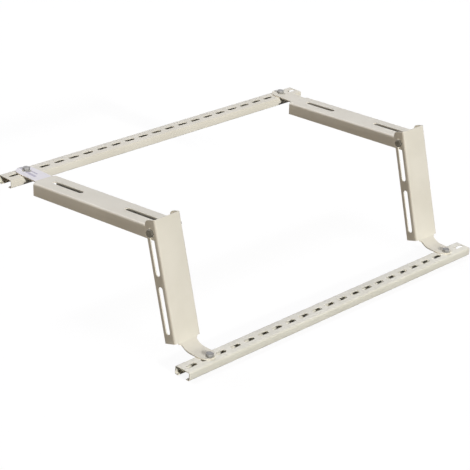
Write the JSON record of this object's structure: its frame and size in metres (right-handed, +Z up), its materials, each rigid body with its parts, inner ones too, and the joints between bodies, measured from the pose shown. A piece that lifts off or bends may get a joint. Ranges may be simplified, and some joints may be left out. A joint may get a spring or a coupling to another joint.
{
  "type": "air conditioner roof stand",
  "caption": "Roof stand for an outdoor unit: slotted lipped rails carry level slotted arms, held up at the front by slotted legs and bolted through bent tongues.",
  "frame": {"origin": "middle of the front rail's length and width, on its underside", "axes": "+X along the rails, +Y level from the front rail to the back rail, +Z up with the arms level"},
  "size_m": [0.793, 0.5033, 0.2534],
  "materials": {
    "ivory_paint": "ivory powder coat, slightly textured, half matt",
    "zinc_plate": "bright zinc plate, satin"
  },
  "bodies": {
    "root": {"front_rail": "ivory_paint", "back_rail": "ivory_paint", "left_arm": "ivory_paint", "left_leg": "ivory_paint", "left_front_bolt": "zinc_plate", "left_front_nut": "zinc_plate", "left_back_bolt": "zinc_plate", "left_back_nut": "zinc_plate", "left_joint_outer_bolt": "zinc_plate", "left_joint_outer_nut": "zinc_plate", "left_joint_inner_bolt": "zinc_plate", "left_joint_inner_nut": "zinc_plate", "right_arm": "ivory_paint", "right_leg": "ivory_paint", "right_front_bolt": "zinc_plate", "right_front_nut": "zinc_plate", "right_back_bolt": "zinc_plate", "right_back_nut": "zinc_plate", "right_joint_outer_bolt": "zinc_plate", "right_joint_outer_nut": "zinc_plate", "right_joint_inner_bolt": "zinc_plate", "right_joint_inner_nut": "zinc_plate"}
  },
  "joints": []
}
